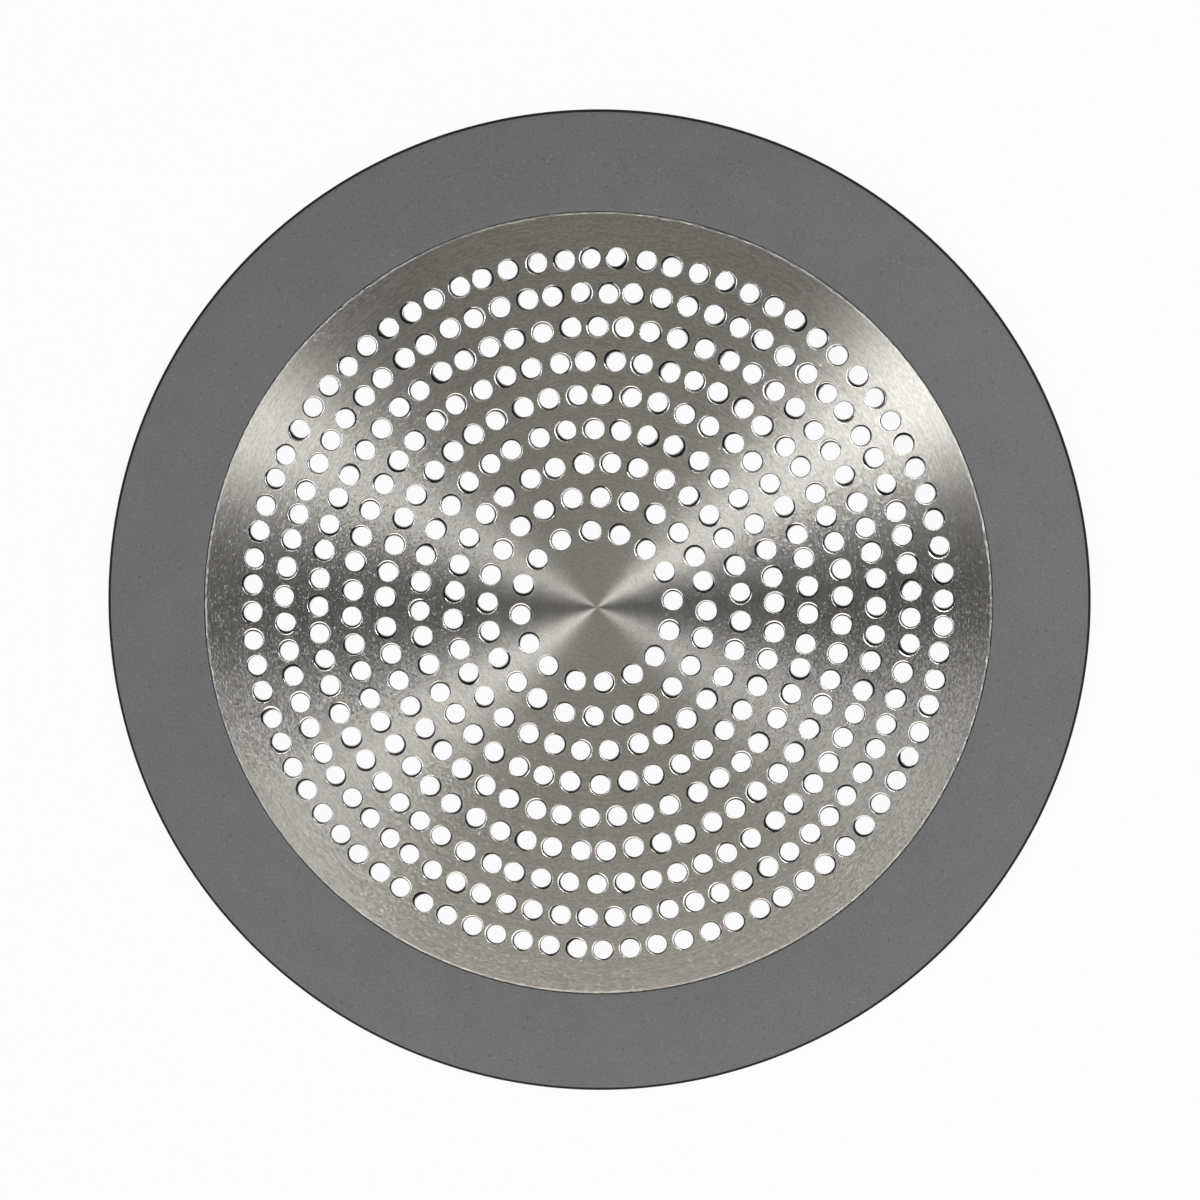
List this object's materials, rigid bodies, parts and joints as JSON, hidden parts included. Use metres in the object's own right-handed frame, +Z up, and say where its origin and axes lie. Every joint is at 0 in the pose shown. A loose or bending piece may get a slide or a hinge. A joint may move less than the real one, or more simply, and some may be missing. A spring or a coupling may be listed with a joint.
{
  "type": "shower drain strainer",
  "caption": "Shallow domed steel strainer punched with rings of round holes, its edge held in a broad soft silicone rim that lies flat on the shower floor around the drain to catch hair.",
  "frame": {"origin": "on the shower floor, under the middle of the dome", "axes": "+Z up through the middle of the dome, +X and +Y along the floor"},
  "size_m": [0.146, 0.146, 0.0093],
  "materials": {
    "brushed_steel": "stainless steel brushed in circles round its middle",
    "silicone": "matt grey silicone with a fine speckled grain"
  },
  "bodies": {
    "root": {"strainer_plate": "brushed_steel", "silicone_rim": "silicone"}
  },
  "joints": []
}
